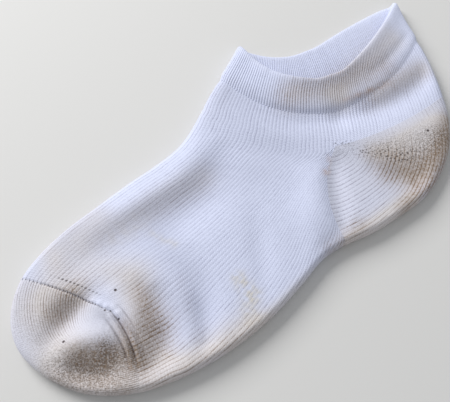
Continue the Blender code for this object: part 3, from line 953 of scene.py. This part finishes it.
def shell(cloth, rings, closed, lift, wall, seam, courses, low, high, rims):
    """A ribbed outer face over a grid of rings, its coarser inner face, and rims where it ends.

    A rim is a row, and the columns where it starts and ends.
    """
    base, way = rings[..., :3], rings[..., 3:]
    outer = cloth.add_points(base + way * lift[..., None], tints_of(base, seam))
    rows = np.unique(np.append(np.arange(0, base.shape[0], INSIDE_ROWS), base.shape[0] - 1))
    picked = np.arange(0, base.shape[1], INSIDE_COLUMNS)
    inside = (base - way * wall)[np.ix_(rows, picked)]
    inner = cloth.add_points(inside, {name: 0.0 for name in cloth.tints})
    if closed:
        outer = np.hstack([outer, outer[:, :1]])
        inner = np.hstack([inner, inner[:, :1]])
    wales = np.arange(outer.shape[1]) / SAMPLES
    middle = low + (high - low) * OUTER_BAKE
    cloth.add_quads(outer, wales, courses, low, middle)
    cloth.add_quads(inner, wales[::INSIDE_COLUMNS], courses[rows], middle, high, True)
    for row, start, end in rims:
        run = outer[row, start:end + 1]
        lining = inner[row, start // INSIDE_COLUMNS:end // INSIDE_COLUMNS + 1]
        way = 1 if row == 0 else -1
        cloth.add_rim(run[::way], lining[::way])


def even_stops(start, end, step):
    return np.linspace(start, end, int(round((end - start) / step)) + 1)


leg_stops = even_stops(CUFF_AT, ANKLE_AT, COURSE_STEP)
foot_stops = np.append(even_stops(ANKLE_AT, TOE_AT - SEAM_REACH, COURSE_STEP)[:-1],
                       even_stops(TOE_AT - SEAM_REACH, TOE_AT, SEAM_STEP))
# Towards the toe, the foot's wales turn round to the back on the upper side.
twists = TWIST * (1 - ((TOE_AT - foot_stops) / (TOE_AT - ANKLE_AT)) ** TWIST_EASE)
front = FRONT_RIBS * SAMPLES
leg_rings = np.array([tube_ring(at, LEG, front, LEG_BACK_RIBS * SAMPLES) for at in leg_stops])
foot_rings = np.array([tube_ring(at, FOOT, front, FOOT_BACK_RIBS * SAMPLES, twist)
                       for at, twist in zip(foot_stops, twists)])
foot_seam = from_seam(foot_rings)

# The leg's ribs are deeper than the foot's, and come down to them at the ankle.
leg_depth = RIB_DEPTH + (LEG_RIB_DEPTH - RIB_DEPTH) * np.clip((ANKLE_AT - leg_stops) / LEG_RIB_FADE, 0, 1)
leg_lift = rib_lift(leg_rings, leg_depth[:, None])
leg_lift -= GROOVE * bell(leg_stops, CUFF_AT, LEG_GROOVE_REACH)[:, None]
foot_lift = rib_lift(foot_rings, RIB_DEPTH) + toe_lift(foot_rings, foot_seam)

tube = Cloth("leg_and_foot")
around = leg_rings.shape[1]
shell(tube, leg_rings, True, leg_lift, WALL, FAR_FROM_SEAM, leg_stops / COURSE, 0.0, LEG_BAKE,
      [(0, 0, around), (-1, front, around - front)])
around = foot_rings.shape[1]
shell(tube, foot_rings, True, foot_lift, WALL, foot_seam, foot_stops / COURSE, LEG_BAKE, BAKE_END,
      [(0, front, around - front), (-1, 0, around)])
FOOT_PINS = (
    # pinhole            x, y           radius
    ("behind toe seam",  -84.1, -20.7,  0.85),
    ("sole seam",        -89.1, -33.4,  0.65),
    ("toe gore",         -90.6, -28.1,  0.55),
)
leg_foot = tube.make(knitted("body_knit", pins=FOOT_PINS))
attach(leg_foot, "root")
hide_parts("leg_foot")

# ---- The heel pocket -----------------------------------------------------------------------
# Thicker cotton terry, knitted to and fro on half the needles. Its wales run round the point
# where its gore lines meet on each side of the ankle.

POCKET_WALL = 2.4
POCKET_CREAM = 0.3


def fan(apex, stops, bows, leans, ribs):
    """The rings of a pocket, each from its apex over the fold to the apex underneath.

    A lean moves a ring's wales out from the apex on its upper side, most of all at the fold.
    """
    rings = []
    part = np.linspace(0, 1, 2 * ribs * SAMPLES + 1)
    past = (stops - stops[0]) / (stops[-1] - stops[0])
    every = zip(fold_point(stops), np.interp(past, (0, 1), bows), np.interp(past, (0, 1), leans))
    for end, bow, lean in every:
        line = bowed(apex, end, bow)
        out = lean * 4 * part * (1 - part)
        rings.append(laid(line, line[-2::-1], lambda so_far: so_far[-1] * part + out))
    return np.array(rings)


def pocket_piece(name, node, rings, lift, seam, stops, rib_line, pins):
    """The pocket's finished piece, in place of its node."""
    cloth = Cloth(name)
    last = rings.shape[1] - 1
    shell(cloth, rings, False, lift, POCKET_WALL, seam, stops / COURSE, 0.0, BAKE_END,
          [(0, 0, last), (-1, 0, last)])
    piece = cloth.make(knitted(node + "_terry", rib_line, cream_base=POCKET_CREAM, pins=pins))
    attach(piece, "root")
    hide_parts(node)
    return piece


HEEL_PINS = (
    # pinhole            x, y           radius
    ("heel",             90.8, -31,     0.95),
)
HEEL_STEP = 1.3
HEEL_RIBS = 30
HEEL_LEANS = (-7.0, 12.0)
HEEL_RIB_DEPTH = 0.08
HEEL_RIB_LINE = 0.95
heel_stops = even_stops(HEEL_POCKET[-1], HEEL_POCKET[0], HEEL_STEP)[::-1]
heel_bows = SIDES[SPLIT:SPLIT + 2, 3]
heel_rings = fan(SIDES[SPLIT, :2], heel_stops, heel_bows, HEEL_LEANS, HEEL_RIBS)
heel_lift = rib_lift(heel_rings, HEEL_RIB_DEPTH)
heel = pocket_piece("heel_pocket", "heel", heel_rings, heel_lift, FAR_FROM_SEAM, heel_stops,
                    HEEL_RIB_LINE, HEEL_PINS)

# ---- The toe pocket ------------------------------------------------------------------------
# Thick cotton terry like the heel's, knitted to and fro over the toes. Its gore lines end in a
# small knot of stitches, and its front edge is linked to the instep.

TOE_STEP = 1.5
TOE_RIBS = 42
TOE_RIB_DEPTH = 0.16
TOE_RIB_LINE = 1.8
TOE_LEANS = (-5.0, 4.0)
TOE_PINS = (
    # pinhole            x, y           radius
    ("toe",              -114.6, -29,   0.85),
    ("knot",             -92.6, -26.3,  0.55),
)
seam_end, seam_start = TOE_POCKET[0], TOE_POCKET[-1]
toe_stops = np.concatenate([even_stops(seam_start, seam_start + SEAM_REACH, SEAM_STEP),
                            even_stops(seam_start + SEAM_REACH, seam_end - SEAM_REACH, TOE_STEP)[1:-1],
                            even_stops(seam_end - SEAM_REACH, seam_end, SEAM_STEP)])[::-1]
toe_rings = fan(SIDES[-1, :2], toe_stops, (SIDES[-1, 3], -SIDES[-1, 2]), TOE_LEANS, TOE_RIBS)
toe_seam = -from_seam(toe_rings)
toe_rise = rib_lift(toe_rings, TOE_RIB_DEPTH) + toe_lift(toe_rings, toe_seam)
toe = pocket_piece("toe_pocket", "toe", toe_rings, toe_rise, toe_seam, toe_stops, TOE_RIB_LINE, TOE_PINS)

# ---- The toe's linking stitches -----------------------------------------------------------
# Cotton thread that closes the toe once the tube is off the machine: one small loop over the
# seam at each wale, with none on the knot. It lies on the toe and moves with it.

STITCH_HALF = 0.95
STITCH_RISE = 0.30
STITCH_SINK = 0.25
STITCH_SLANT = 0.35
SLANT_UNEVEN = 0.2
STITCH_SIZES = (0.75, 1.1)
WORN_SIZE = 0.5
STITCH_THICK = (0.10, 0.24, 0.27, 0.24, 0.10)
STITCH_SIDES = 6
KNOT_CLEAR = 6
THREAD = (0.66, 0.66, 0.74)
THREAD_ROUGHNESS = 0.85


def painted(name, colour, roughness):
    """A material of one plain colour."""
    material = bpy.data.materials.new(name)
    material.use_nodes = True
    finish = material.node_tree.nodes["Principled BSDF"].inputs
    finish["Base Color"].default_value = rgba(colour)
    finish["Roughness"].default_value = roughness
    return material


# The foot's last ring, one a little before it, and where the knot comes on each of its sides.
ring, before = foot_rings[-1], foot_rings[-4, :, :3]
from_knot = np.linalg.norm(ring[:, :2] - SIDES[-1, :2], axis=1)
knots = [span[0] + from_knot[span].argmin() for span in np.array_split(np.arange(len(ring)), 2)]
at_wales = [k for k in range(SAMPLES // 2, len(ring), SAMPLES)
            if k < knots[0] - KNOT_CLEAR or k > knots[1] + KNOT_CLEAR]
jitter = np.random.default_rng(21)
thread_points, thread_faces = [], []
for k in at_wales:
    middle, up = ring[k, :3], ring[k, 3:]
    ahead = middle - before[k]
    ahead -= up * (ahead @ up)
    ahead /= np.linalg.norm(ahead)
    side = np.cross(up, ahead)
    ahead = ahead + side * (STITCH_SLANT + jitter.uniform(-SLANT_UNEVEN, SLANT_UNEVEN))
    size = jitter.uniform(*STITCH_SIZES) * (1 - WORN_SIZE * min(spots(*middle[:2], TINTS["marks"]), 1))
    first_point = len(thread_points)
    for part, thick in zip(np.linspace(-1, 1, len(STITCH_THICK)), STITCH_THICK):
        rise = STITCH_RISE * (1 - part ** 2) - STITCH_SINK
        spot = middle + ahead * part * STITCH_HALF * size + up * rise
        for turn_at in np.arange(STITCH_SIDES) * 2 * np.pi / STITCH_SIDES:
            thread_points.append(spot + (side * np.cos(turn_at) + up * np.sin(turn_at)) * thick * size)
    for row in range(len(STITCH_THICK) - 1):
        for i in range(STITCH_SIDES):
            near, far = (first_point + (row + step) * STITCH_SIDES for step in (0, 1))
            after = (i + 1) % STITCH_SIDES
            thread_faces.append((near + i, far + i, far + after, near + after))
    last_ring = first_point + (len(STITCH_THICK) - 1) * STITCH_SIDES
    thread_faces.append(tuple(first_point + i for i in range(STITCH_SIDES)))
    thread_faces.append(tuple(last_ring + i for i in reversed(range(STITCH_SIDES))))
thread_mesh = bpy.data.meshes.new("toe_seam_stitches")
thread_mesh.from_pydata(((np.array(thread_points) - MIDDLE) * METRE).tolist(), [], thread_faces)
thread_mesh.shade_smooth()
thread_mesh.materials.append(painted("thread", THREAD, THREAD_ROUGHNESS))
stitches = placed("toe_seam_stitches", thread_mesh)
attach(stitches, "root")

# ---- The floor, the light and the camera ---------------------------------------------------
# A plain pale floor, one broad soft lamp from the instep's side and an even pale sky, with the
# camera looking steeply down from the sole's side.

FLOOR_REACH = 3.0
FLOOR_COLOUR = (0.72, 0.71, 0.69)
FLOOR_ROUGHNESS = 0.8
SKY_COLOUR = (0.93, 0.96, 1.0)
SKY_STRENGTH = 0.44
LAMP_POWER = 20.6
LAMP_SIZE = 0.8
LAMP_AT = (-0.28, 1.15, 0.85)
CAMERA_AT = (-83.017, -113.226, 284.282)
LOOKS_DOWN = 66.0
TURNED = 32.0
LENS = 49.6
NEAREST_SEEN = 0.01

bpy.ops.mesh.primitive_plane_add(size=FLOOR_REACH)
floor = bpy.context.object
floor.name = "floor"
floor.data.materials.append(painted("floor_paint", FLOOR_COLOUR, FLOOR_ROUGHNESS))

world = bpy.data.worlds.new("sky")
world.use_nodes = True
world.node_tree.nodes["Background"].inputs["Color"].default_value = rgba(SKY_COLOUR)
world.node_tree.nodes["Background"].inputs["Strength"].default_value = SKY_STRENGTH
bpy.context.scene.world = world

lamp = bpy.data.lights.new("window", "AREA")
lamp.energy = LAMP_POWER
lamp.size = LAMP_SIZE
lamp_object = placed("window", lamp)
lamp_object.location = LAMP_AT
look = lamp_object.constraints.new("TRACK_TO")
look.target = placed("middle of the sock", None)
look.track_axis = "TRACK_NEGATIVE_Z"
look.up_axis = "UP_Y"

camera_data = bpy.data.cameras.new("camera")
camera_data.lens = LENS
camera_data.clip_start = NEAREST_SEEN
camera = placed("camera", camera_data)
camera.location = (np.array(CAMERA_AT) - MIDDLE) * METRE
camera.rotation_euler = (np.radians(90 - LOOKS_DOWN), 0.0, -np.radians(TURNED))
bpy.context.scene.camera = camera
bpy.context.scene.view_settings.view_transform = "Standard"
